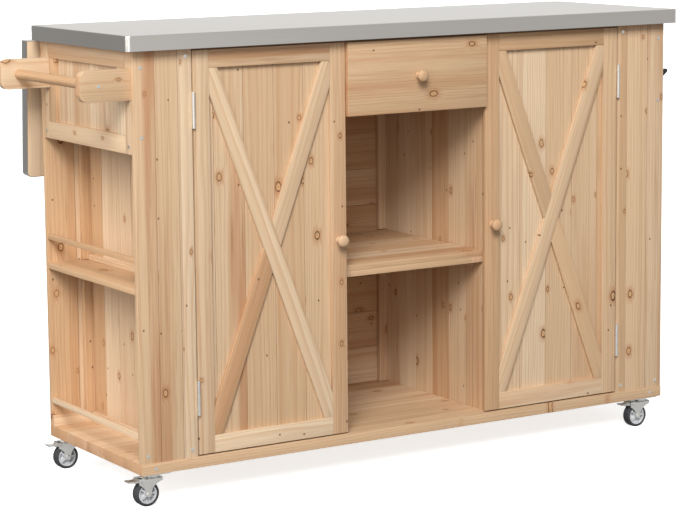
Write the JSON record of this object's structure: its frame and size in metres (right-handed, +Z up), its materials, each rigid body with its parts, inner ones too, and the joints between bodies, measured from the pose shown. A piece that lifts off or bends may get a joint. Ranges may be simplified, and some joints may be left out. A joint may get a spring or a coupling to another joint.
{
  "type": "kitchen island cart",
  "caption": "Wheeled kitchen island cabinet with a steel worktop, drop leaf, braced doors, a drawer, open middle shelves, an end spice recess and a towel rail.",
  "frame": {"origin": "on the floor under the middle of the cart's overall box", "axes": "+X along the worktop to the right as seen from the doors, +Y from the doors to the drop leaf, +Z up"},
  "size_m": [1.412, 0.4984, 0.916],
  "materials": {
    "fir": "sanded, unvarnished knotty fir",
    "core_board": "raw board under the steel sheet",
    "stainless_steel": "brushed along its length",
    "zinc_plated_steel": "bright zinc plate",
    "black_steel": "black powder coat",
    "castor_rubber": "ribbed tread, matte",
    "castor_nylon": "moulded, satin"
  },
  "bodies": {
    "cabinet": {"worktop_sheet": "stainless_steel", "worktop_core": "core_board", "base_board": "fir", "front_panel_left": "fir", "front_panel_right": "fir", "hinge_stiles": "fir", "back_panels_outer": "fir", "back_panel_middle": "fir", "dividers": "fir", "spice_wall": "fir", "side_panel_right": "fir", "top_rails": "fir", "battens": "fir", "middle_shelf": "fir", "cupboard_shelves": "fir", "spice_shelf": "fir", "spice_rails": "fir", "apron_frame": "fir", "apron_panel": "fir", "towel_arms": "fir", "towel_rail": "fir", "side_hooks": "black_steel", "screws": "zinc_plated_steel", "hinge_plates": "zinc_plated_steel", "drawer_runners": "fir", "castor_plates": "zinc_plated_steel"},
    "left_door": {"door_left_frame": "fir", "door_left_boards": "fir", "door_left_brace": "fir", "door_left_knob": "fir", "door_left_hinges": "zinc_plated_steel"},
    "right_door": {"door_right_frame": "fir", "door_right_boards": "fir", "door_right_brace": "fir", "door_right_knob": "fir", "door_right_hinges": "zinc_plated_steel"},
    "drawer": {"drawer_front": "fir", "drawer_box": "fir", "drawer_knob": "fir"},
    "leaf": {"leaf_sheet": "stainless_steel", "leaf_frame": "fir", "leaf_arms": "zinc_plated_steel"},
    "left_stay": {"leaf_stay_left": "zinc_plated_steel"},
    "right_stay": {"leaf_stay_right": "zinc_plated_steel"},
    "swivel_front_left": {"castor_fork_front_left": "zinc_plated_steel"},
    "wheel_front_left": {"castor_tyre_front_left": "castor_rubber", "castor_hub_front_left": "castor_nylon"},
    "pedal_front_left": {"castor_lever_front_left": "zinc_plated_steel"},
    "swivel_front_right": {"castor_fork_front_right": "zinc_plated_steel"},
    "wheel_front_right": {"castor_tyre_front_right": "castor_rubber", "castor_hub_front_right": "castor_nylon"},
    "pedal_front_right": {"castor_lever_front_right": "zinc_plated_steel"},
    "swivel_back_left": {"castor_fork_back_left": "zinc_plated_steel"},
    "wheel_back_left": {"castor_tyre_back_left": "castor_rubber", "castor_hub_back_left": "castor_nylon"},
    "pedal_back_left": {"castor_lever_back_left": "zinc_plated_steel"},
    "swivel_back_right": {"castor_fork_back_right": "zinc_plated_steel"},
    "wheel_back_right": {"castor_tyre_back_right": "castor_rubber", "castor_hub_back_right": "castor_nylon"},
    "pedal_back_right": {"castor_lever_back_right": "zinc_plated_steel"}
  },
  "joints": [
    {"name": "left_door_hinge", "type": "hinge", "parent": "cabinet", "child": "left_door", "pos_m": [-0.474, -0.22072, 0.486], "axis": [0, 0, -1], "range_deg": [0, 170]},
    {"name": "right_door_hinge", "type": "hinge", "parent": "cabinet", "child": "right_door", "pos_m": [0.556, -0.22072, 0.486], "axis": [0, 0, 1], "range_deg": [0, 170]},
    {"name": "drawer_slide", "type": "slide", "parent": "cabinet", "child": "drawer", "axis": [0, -1, 0], "range_m": [0, 0.26]},
    {"name": "leaf_hinge", "type": "hinge", "parent": "cabinet", "child": "leaf", "pos_m": [0.041, 0.19778, 0.879], "axis": [1, 0, 0], "range_deg": [0, 87]},
    {"name": "left_stay_hinge", "type": "hinge", "parent": "cabinet", "child": "left_stay", "pos_m": [-0.408, 0.19778, 0.779], "axis": [1, 0, 0], "range_deg": [0, 136.1]},
    {"name": "right_stay_hinge", "type": "hinge", "parent": "cabinet", "child": "right_stay", "pos_m": [0.498, 0.19778, 0.779], "axis": [1, 0, 0], "range_deg": [0, 136.1]},
    {"name": "swivel_front_left", "type": "hinge", "parent": "cabinet", "child": "swivel_front_left", "pos_m": [-0.564, -0.19322, 0.057], "axis": [0, 0, 1], "continuous": true},
    {"name": "wheel_front_left", "type": "hinge", "parent": "swivel_front_left", "child": "wheel_front_left", "pos_m": [-0.58, -0.19322, 0.025], "axis": [0, 1, 0], "continuous": true},
    {"name": "pedal_front_left", "type": "hinge", "parent": "swivel_front_left", "child": "pedal_front_left", "pos_m": [-0.595, -0.19322, 0.0515], "axis": [0, 1, 0], "range_deg": [0, 14]},
    {"name": "swivel_front_right", "type": "hinge", "parent": "cabinet", "child": "swivel_front_right", "pos_m": [0.646, -0.19322, 0.057], "axis": [0, 0, 1], "continuous": true},
    {"name": "wheel_front_right", "type": "hinge", "parent": "swivel_front_right", "child": "wheel_front_right", "pos_m": [0.63, -0.19322, 0.025], "axis": [0, 1, 0], "continuous": true},
    {"name": "pedal_front_right", "type": "hinge", "parent": "swivel_front_right", "child": "pedal_front_right", "pos_m": [0.615, -0.19322, 0.0515], "axis": [0, 1, 0], "range_deg": [0, 14]},
    {"name": "swivel_back_left", "type": "hinge", "parent": "cabinet", "child": "swivel_back_left", "pos_m": [-0.564, 0.16678, 0.057], "axis": [0, 0, 1], "continuous": true},
    {"name": "wheel_back_left", "type": "hinge", "parent": "swivel_back_left", "child": "wheel_back_left", "pos_m": [-0.58, 0.16678, 0.025], "axis": [0, 1, 0], "continuous": true},
    {"name": "pedal_back_left", "type": "hinge", "parent": "swivel_back_left", "child": "pedal_back_left", "pos_m": [-0.595, 0.16678, 0.0515], "axis": [0, 1, 0], "range_deg": [0, 14]},
    {"name": "swivel_back_right", "type": "hinge", "parent": "cabinet", "child": "swivel_back_right", "pos_m": [0.646, 0.16678, 0.057], "axis": [0, 0, 1], "continuous": true},
    {"name": "wheel_back_right", "type": "hinge", "parent": "swivel_back_right", "child": "wheel_back_right", "pos_m": [0.63, 0.16678, 0.025], "axis": [0, 1, 0], "continuous": true},
    {"name": "pedal_back_right", "type": "hinge", "parent": "swivel_back_right", "child": "pedal_back_right", "pos_m": [0.615, 0.16678, 0.0515], "axis": [0, 1, 0], "range_deg": [0, 14]}
  ],
  "couplings": [
    {"joint": "left_stay_hinge", "follows": "leaf_hinge", "ratio": 1.5622},
    {"joint": "right_stay_hinge", "follows": "leaf_hinge", "ratio": 1.5622}
  ]
}
